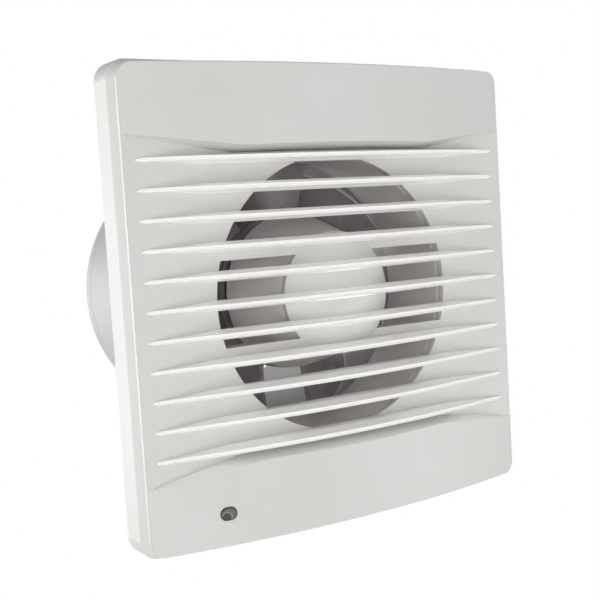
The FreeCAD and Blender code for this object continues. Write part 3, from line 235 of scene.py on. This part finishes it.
def dress(mat, *names):
    for name in names:
        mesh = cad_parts[name].data
        mesh.materials.clear()
        mesh.materials.append(mat)


# cover, satin white with a faint spark texture; the floor between the slats is bowed along X
coverLook = {"tone": "DCDBD9", "toneDeep": "D7D6D3", "driftSize": 0.05, "glossLow": 0.34, "glossHigh": 0.44,
             "grain": 0.00045, "grainStrength": 0.12, "grainDepth": 0.00004,
             # ridge highlight tone: painted highlight on the slat ridges and the recess's lower lip
             "ridgeHighlightTone": "FCFBF9", "ridgePitch": 0.009, "ridgeHalf": 0.0016, "ridgeSoft": 1.1,
             "ridgeLast": 0.0462, "ridgeRise": (0.0001, 0.00002), "lipFacing": (0.4, 0.6),
             "floorAt": -0.0118, "floorBow": 0.3323}
coverPlastic = mouldedPlastic("coverPlastic", coverLook)
dress(coverPlastic, "front_grille")
print("cover dressed")

# slat ends, run out thin on the cover's floor
endLook = {"slats": 11, "outer": 0.0708, "inner": 0.0565, "groundAt": 0.07, "slope": 0.1645,
           "noseRadius": 0.00069, "sink": 0.0012, "stations": 9, "arcSteps": 12, "sharpOver": 40}


# outline of one slat end, out from the middle: half round nose, straight flanks, flat foot in the floor
def endRing(look, cover, side, out, level):
    radius = look["noseRadius"]
    ground = cover["floorAt"] - cover["floorBow"] * out * out
    foot = ground + look["sink"]
    centre = ground - look["slope"] * (look["groundAt"] - out) + radius
    ring = [(side * out, foot, level - radius)]
    for step in range(look["arcSteps"] + 1):
        angle = math.pi * step / look["arcSteps"]
        ring.append((side * out, centre - radius * math.sin(angle), level - radius * math.cos(angle)))
    ring.append((side * out, foot, level + radius))
    return ring


def slatEnds(look, cover):
    points, faces = [], []
    ring = look["arcSteps"] + 3
    reach = look["inner"] - look["outer"]
    lastStation = look["stations"] - 1
    for row in range(look["slats"]):
        level = (row - (look["slats"] - 1) / 2) * cover["ridgePitch"]
        for side in (-1, 1):
            first = len(points)
            for station in range(look["stations"]):
                points += endRing(look, cover, side, look["outer"] + reach * station / lastStation, level)
            new = []
            for station in range(lastStation):
                near = first + station * ring
                for k in range(ring):
                    after = (k + 1) % ring
                    new.append((near + k, near + after, near + ring + after, near + ring + k))
            last = first + lastStation * ring
            new.append(tuple(range(first, first + ring))[::-1])
            new.append(tuple(range(last, last + ring)))
            faces += new if side < 0 else [face[::-1] for face in new]
    mesh = bpy.data.meshes.new("slatEnds")
    mesh.from_pydata(points, [], faces)
    mesh.shade_smooth()
    mesh.set_sharp_from_angle(angle=math.radians(look["sharpOver"]))
    made = bpy.data.objects.new("slatEnds", mesh)
    scene.collection.objects.link(made)
    return made


ends = slatEnds(endLook, coverLook)
ends.data.materials.append(coverPlastic)
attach(ends, "cover_body")
print("slat ends run out")

# housing with flange and spigot, toned greyer than the cover as painted shade; the tube carries a painted shade
# line in its step
housingShadedLook = {"tone": "C7C5C4", "toneDeep": "BFBDBC", "driftSize": 0.06, "glossLow": 0.36, "glossHigh": 0.5,
               "grain": 0.0006, "grainStrength": 0.15, "grainDepth": 0.00005}
dress(mouldedPlastic("housingPlastic", housingShadedLook), "housing", "terminal_panel")
# the duct tube carries a painted shade line in its step
ductLook = dict(housingShadedLook, stepShadeTone="8A888C", stepShadeSpan=(0.0806, 0.0816, 0.0836), stepShadeRadius=(0.0482, 0.0484))
dress(mouldedPlastic("ductPlastic", ductLook), "duct_tube")

# inlet sleeve, arms and motor pod, toned whiter than the cover as painted light for the dim inside of the duct
carrierLitLook = {"tone": "F5F2F1", "toneDeep": "EEEBEA", "driftSize": 0.04, "glossLow": 0.34, "glossHigh": 0.46,
               "grain": 0.0005, "grainStrength": 0.12, "grainDepth": 0.00004}
dress(mouldedPlastic("carrierPlastic", carrierLitLook), "motor_carrier", "inlet_sleeve", "inlet_lip")

# impeller, a glossier grey plastic
impellerLook = {"tone": "ABA4A6", "toneDeep": "A09A9B", "driftSize": 0.03, "glossLow": 0.22, "glossHigh": 0.32,
                "grain": 0.0007, "grainStrength": 0.08, "grainDepth": 0.00004}
dress(mouldedPlastic("impellerPlastic", impellerLook), "impeller")
print("housing, carrier and impeller dressed")

# wiring pieces
terminalLook = {"tone": "DEDCD2", "toneDeep": "D2CFC4", "driftSize": 0.01, "glossLow": 0.4, "glossHigh": 0.52,
                "grain": 0.0004, "grainStrength": 0.1, "grainDepth": 0.00003}
dress(mouldedPlastic("terminalPlastic", terminalLook), "terminal_block", "cable_clamp", "lamp_holder")
bobbinLook = {"tone": "3A3A3D", "toneDeep": "303033", "driftSize": 0.008, "glossLow": 0.35, "glossHigh": 0.5,
              "grain": 0.0004, "grainStrength": 0.1, "grainDepth": 0.00003}
dress(mouldedPlastic("bobbinPlastic", bobbinLook), "coil_bobbins")
grommetLook = {"tone": "1E1E1F", "toneDeep": "28282A", "driftSize": 0.004, "glossLow": 0.62, "glossHigh": 0.8,
               "grain": 0.0003, "grainStrength": 0.25, "grainDepth": 0.00006}
dress(mouldedPlastic("grommetRubber", grommetLook), "cable_grommet")
print("wiring pieces dressed")

# metal pieces
screwLook = {"tone": "C4C5C6", "toneDeep": "AEB0B4", "packing": (1, 1, 1), "grain": 0.0003, "stainSize": 0.002,
             "glossLow": 0.24, "glossHigh": 0.4, "grainStrength": 0.1, "grainDepth": 0.00003}
dress(workedMetal("zincSteel", screwLook), "carrier_screws", "clamp_screws", "terminal_screws", "motor_screws",
      "thrust_washers", "impeller_nut")
shaftLook = {"tone": "C9CACC", "toneDeep": "B7B8BB", "packing": (1, 14, 1), "grain": 0.0006, "stainSize": 0.006,
             "glossLow": 0.12, "glossHigh": 0.26, "grainStrength": 0.08, "grainDepth": 0.00002}
dress(workedMetal("groundSteel", shaftLook), "motor_shaft")
bracketLook = {"tone": "BFC1C3", "toneDeep": "A6A8AB", "packing": (1, 1, 1), "grain": 0.0007, "stainSize": 0.008,
               "glossLow": 0.4, "glossHigh": 0.58, "grainStrength": 0.3, "grainDepth": 0.00008}
dress(workedMetal("castAluminium", bracketLook), "front_bearing_bracket", "rear_bearing_bracket",
      "rotor_end_rings")
bushLook = {"tone": "B08A52", "toneDeep": "96733F", "packing": (1, 1, 1), "grain": 0.0002, "stainSize": 0.003,
            "glossLow": 0.4, "glossHigh": 0.6, "grainStrength": 0.3, "grainDepth": 0.00004}
dress(workedMetal("sinteredBronze", bushLook), "front_bearing", "rear_bearing")
shadeLook = {"tone": "C98A63", "toneDeep": "A9683F", "packing": (1, 1, 1), "grain": 0.0004, "stainSize": 0.003,
             "glossLow": 0.28, "glossHigh": 0.45, "grainStrength": 0.1, "grainDepth": 0.00003}
dress(workedMetal("bareCopper", shadeLook), "shading_rings")
coreLook = {"tone": "8A8B90", "toneDeep": "5E5F64", "sheet": 0.0005, "stainSize": 0.004, "glossLow": 0.35,
            "glossHigh": 0.55, "wobble": 0.15, "wobbleDetail": 1.0, "relief": 0.6, "reliefShare": 0.3,
            "metal": 0.9}
dress(sheetStack("coreSheets", coreLook), "stator_core", "rotor_core")
print("metal dressed")

# smoked window: grey oval, a dark rim of painted shade, and the round lamp head painted in as seen through it,
# with a lighter ring of painted highlight; bands are shares of the ramp
lensLook = {"rim": "343433", "field": "7E7D7B", "ring": "A8A7A4", "head": "5D5C5A", "clear": 0.2, "ior": 1.49,
            "glossLow": 0.084, "glossHigh": 0.168, "haze": 0.0006, "hazeDetail": 3.0,
            "centre": (-0.0493, 0, -0.0633), "half": (0.0027, 0.0021), "rimFrom": 0.78, "rimTo": 0.98,
            "headAt": (-0.0501, 0, -0.0643), "rampReach": 0.0032,
            "bands": ((0.42, "head"), (0.47, "ring"), (0.53, "ring"), (0.6, "field"))}
mat, tree, shader, place = startMaterial("smokedLens")
headRamp = addNode(tree, "ShaderNodeValToRGB")
fromHead = awayFrom(tree, place, lensLook["headAt"], lensLook["rampReach"], lensLook["rampReach"])
tree.links.new(fromHead, headRamp.inputs["Fac"])
stops = headRamp.color_ramp.elements
stops[0].color = paint(lensLook["head"])
stops[1].color = paint(lensLook["field"])
# the lighter ring band is a painted highlight round the lamp head
for at, tone in lensLook["bands"]:
    stops.new(at).color = paint(lensLook[tone])
fromCentre = awayFrom(tree, place, lensLook["centre"], *lensLook["half"])
# the dark rim is painted shade round the lens edge
rimShadeMask = spread(tree, fromCentre, 0.0, 1.0, lensLook["rimFrom"], lensLook["rimTo"])
smoke = overPaint(tree, rimShadeMask, headRamp.outputs["Color"], lensLook["rim"])
tree.links.new(smoke, shader.inputs["Base Color"])
haze = speckle(tree, place, lensLook["haze"], lensLook["hazeDetail"])
tree.links.new(spread(tree, haze, lensLook["glossLow"], lensLook["glossHigh"]), shader.inputs["Roughness"])
shader.inputs["Transmission Weight"].default_value = lensLook["clear"]
shader.inputs["IOR"].default_value = lensLook["ior"]
dress(mat, "indicator_lens")

# lamp behind the window
lampLook = {"tone": "D8A27C", "toneDeep": "B5754F", "gloss": 0.08, "clear": 0.5, "cloud": 0.001,
            "cloudDetail": 2.0}
mat, tree, shader, place = startMaterial("lampGlass")
cloud = spread(tree, speckle(tree, place, lampLook["cloud"], lampLook["cloudDetail"]), 0.0, 1.0)
tree.links.new(blendTones(tree, cloud, lampLook["tone"], lampLook["toneDeep"]), shader.inputs["Base Color"])
shader.inputs["Roughness"].default_value = lampLook["gloss"]
shader.inputs["Transmission Weight"].default_value = lampLook["clear"]
dress(mat, "indicator_lamp")
print("indicator dressed")

# stator coils, each one wire wound in layers round its pole
coilLook = {"tone": "A9622F", "toneDeep": "8C4A20", "wire": 0.0001, "wireSteps": 1, "poles": 4, "turns": 7,
            "layers": 3, "inner": 0.01516, "halfAlong": 0.0083, "halfAcross": 0.0068, "squareness": 7,
            "pointsPerTurn": 36, "middle": 0.009}


def woundCoils(look):
    curve = bpy.data.curves.new("statorCoils", "CURVE")
    curve.dimensions = "3D"
    curve.bevel_depth = look["wire"]
    curve.bevel_resolution = look["wireSteps"]
    count = look["turns"] * look["layers"] * look["pointsPerTurn"]
    power = 2 / look["squareness"]
    for pole in range(look["poles"]):
        points = []
        for step in range(count):
            turn = step / look["pointsPerTurn"]
            layer = int(turn // look["turns"])
            along = turn - layer * look["turns"]
            if layer % 2:
                along = look["turns"] - along
            out = look["inner"] + along * 2 * look["wire"]
            angle = math.tau * turn
            shrink = layer * 2 * look["wire"]
            c, s = math.cos(angle), math.sin(angle)
            y = math.copysign(abs(c) ** power, c) * (look["halfAlong"] - shrink)
            z = math.copysign(abs(s) ** power, s) * (look["halfAcross"] - shrink)
            spot = Vector((out, y, z))
            spot.rotate(Euler((0, -pole * math.tau / look["poles"], 0)))
            points.append((spot.x, spot.y + look["middle"], spot.z, 1.0))
        spline = curve.splines.new("POLY")
        spline.points.add(len(points) - 1)
        spline.points.foreach_set("co", [c for p in points for c in p])
    made = bpy.data.objects.new("statorCoils", curve)
    scene.collection.objects.link(made)
    return made


coils = woundCoils(coilLook)
enamel = {"tone": coilLook["tone"], "toneDeep": coilLook["toneDeep"], "packing": (1, 1, 1), "grain": 0.0008,
          "stainSize": 0.004, "glossLow": 0.2, "glossHigh": 0.32, "grainStrength": 0.05, "grainDepth": 0.00002}
coils.data.materials.append(workedMetal("enamelledCopper", enamel))
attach(coils, "housing_body")
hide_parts("stator_windings")
print("coils wound")

# inner leads, routes in metres
leadLook = {"radius": 0.0007, "roundSteps": 3, "curveSteps": 12, "order": 3, "glossLow": 0.25,
            "glossHigh": 0.35}
motorLeads = {"tone": "E8E4DC", "toneDeep": "DAD5CB", "routes": [
    [(0.005, -0.0011, 0.0156), (0.005, -0.0041, 0.0156), (0.0444, -0.0041, 0.0156), (0.053, -0.0041, 0.0156),
     (0.053, -0.0041, 0.007), (0.0565, -0.0041, 0.007)],
    [(0.003, -0.0011, 0.0174), (0.003, -0.0041, 0.0174), (0.0463, -0.0041, 0.0174), (0.0514, -0.0041, 0.0174),
     (0.0514, -0.0041, 0.0), (0.0565, -0.0041, 0.0)]]}
lampLeads = {"tone": "7D8FA8", "toneDeep": "6D7F98", "routes": [
    [(-0.0454, -0.0041, -0.0624), (0.028, -0.0041, -0.0624), (0.0512, -0.0041, -0.031),
     (0.0512, -0.0041, -0.007), (0.0565, -0.0041, -0.007)],
    [(-0.0454, -0.0041, -0.0642), (0.0289, -0.0041, -0.0642), (0.0528, -0.0041, -0.0316),
     (0.0528, -0.0041, -0.0089), (0.0565, -0.0041, -0.0089)]]}


def layLeads(name, look):
    curve = bpy.data.curves.new(name, "CURVE")
    curve.dimensions = "3D"
    curve.bevel_depth = leadLook["radius"]
    curve.bevel_resolution = leadLook["roundSteps"]
    curve.resolution_u = leadLook["curveSteps"]
    curve.use_fill_caps = True
    for route in look["routes"]:
        spline = curve.splines.new("NURBS")
        spline.points.add(len(route) - 1)
        for point, spot in zip(spline.points, route):
            point.co = (*spot, 1.0)
        spline.order_u = leadLook["order"]
        spline.use_endpoint_u = True
    made = bpy.data.objects.new(name, curve)
    scene.collection.objects.link(made)
    sleeve = dict(terminalLook, tone=look["tone"], toneDeep=look["toneDeep"], glossLow=leadLook["glossLow"],
                  glossHigh=leadLook["glossHigh"])
    curve.materials.append(mouldedPlastic(name + "Sleeve", sleeve))
    return made


for leadName, look, cadName in (("motorLeadWires", motorLeads, "motor_leads"),
                                ("lampLeadWires", lampLeads, "lamp_leads")):
    wires = layLeads(leadName, look)
    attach(wires, "housing_body")
    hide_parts(cadName)
print("leads laid")

# white sweep: to the camera it is plain white, to the part it is a pale floor
stageLook = {"floorDrop": 0.75, "floorSize": 8.0, "floorCells": 4, "floorTone": "EDEDED", "floorGloss": 0.9,
             "white": (1, 1, 1, 1), "skyStrength": 0.25}
bpy.ops.mesh.primitive_grid_add(x_subdivisions=stageLook["floorCells"], y_subdivisions=stageLook["floorCells"],
                                size=stageLook["floorSize"], location=(0, 0, -stageLook["floorDrop"]))
floor = bpy.context.object
floor.name = "paleFloor"
floorMat, tree, shader, place = startMaterial("paleFloorPaint")
shader.inputs["Base Color"].default_value = paint(stageLook["floorTone"])
shader.inputs["Roughness"].default_value = stageLook["floorGloss"]
seen = addNode(tree, "ShaderNodeLightPath").outputs["Is Camera Ray"]
glow = addNode(tree, "ShaderNodeEmission", Strength=1.0)
glow.inputs["Color"].default_value = stageLook["white"]
pick = addNode(tree, "ShaderNodeMixShader")
tree.links.new(seen, pick.inputs["Fac"])
tree.links.new(shader.outputs["BSDF"], pick.inputs[1])
tree.links.new(glow.outputs["Emission"], pick.inputs[2])
tree.links.new(pick.outputs["Shader"], tree.nodes["Material Output"].inputs["Surface"])
floor.data.materials.append(floorMat)
world = bpy.data.worlds.new("whiteRoom")
scene.world = world
world.use_nodes = True
tree = world.node_tree
backdrop = tree.nodes["Background"]
backdrop.inputs["Color"].default_value = stageLook["white"]
seen = addNode(tree, "ShaderNodeLightPath").outputs["Is Camera Ray"]
tree.links.new(spread(tree, seen, stageLook["skyStrength"], 1.0, 0.0, 1.0), backdrop.inputs["Strength"])

# soft boxes: place, size, watts
lights = {
    "frontKey": {"place": (-0.8, -1.35, -0.02), "size": 0.8, "watts": 6.7},
    "lowSoft": {"place": (-0.45, -0.9, -0.5), "size": 0.5, "watts": 2.5},
    "rightFill": {"place": (1.25, -0.95, -0.45), "size": 0.8, "watts": 4.9},
    "sideLeft": {"place": (-0.87, 0.85, -0.05), "size": 0.7, "watts": 10.6},
    "topSoft": {"place": (-0.1, -0.7, 1.0), "size": 0.9, "watts": 3.5},
    "backSoft": {"place": (1.15, 0.5, 0.5), "size": 0.9, "watts": 7.5},
}
for lightName, look in lights.items():
    lamp = bpy.data.lights.new(lightName, "AREA")
    lamp.size = look["size"]
    lamp.energy = look["watts"]
    made = bpy.data.objects.new(lightName, lamp)
    made.location = look["place"]
    made.rotation_euler = (-Vector(look["place"])).to_track_quat("-Z", "Y").to_euler()  # aimed at the origin
    scene.collection.objects.link(made)
print("stage lit")

# camera as the photograph was taken
cameraLook = {"place": (-0.1958, -0.29593, 0.02557), "aim": (0.53577, 0.84066, -0.07898), "roll": -3.56,
              "lens": 62.622, "sensor": 36, "nearClip": 0.01}
camera = bpy.data.objects.new("photoCamera", bpy.data.cameras.new("photoCamera"))
camera.data.lens = cameraLook["lens"]
camera.data.sensor_width = cameraLook["sensor"]
camera.data.clip_start = cameraLook["nearClip"]
camera.location = cameraLook["place"]
turn = Vector(cameraLook["aim"]).to_track_quat("-Z", "Y")
camera.rotation_euler = (turn @ Euler((0, 0, math.radians(cameraLook["roll"]))).to_quaternion()).to_euler()
scene.collection.objects.link(camera)
scene.camera = camera
scene.view_settings.view_transform = "Standard"
print("camera set")
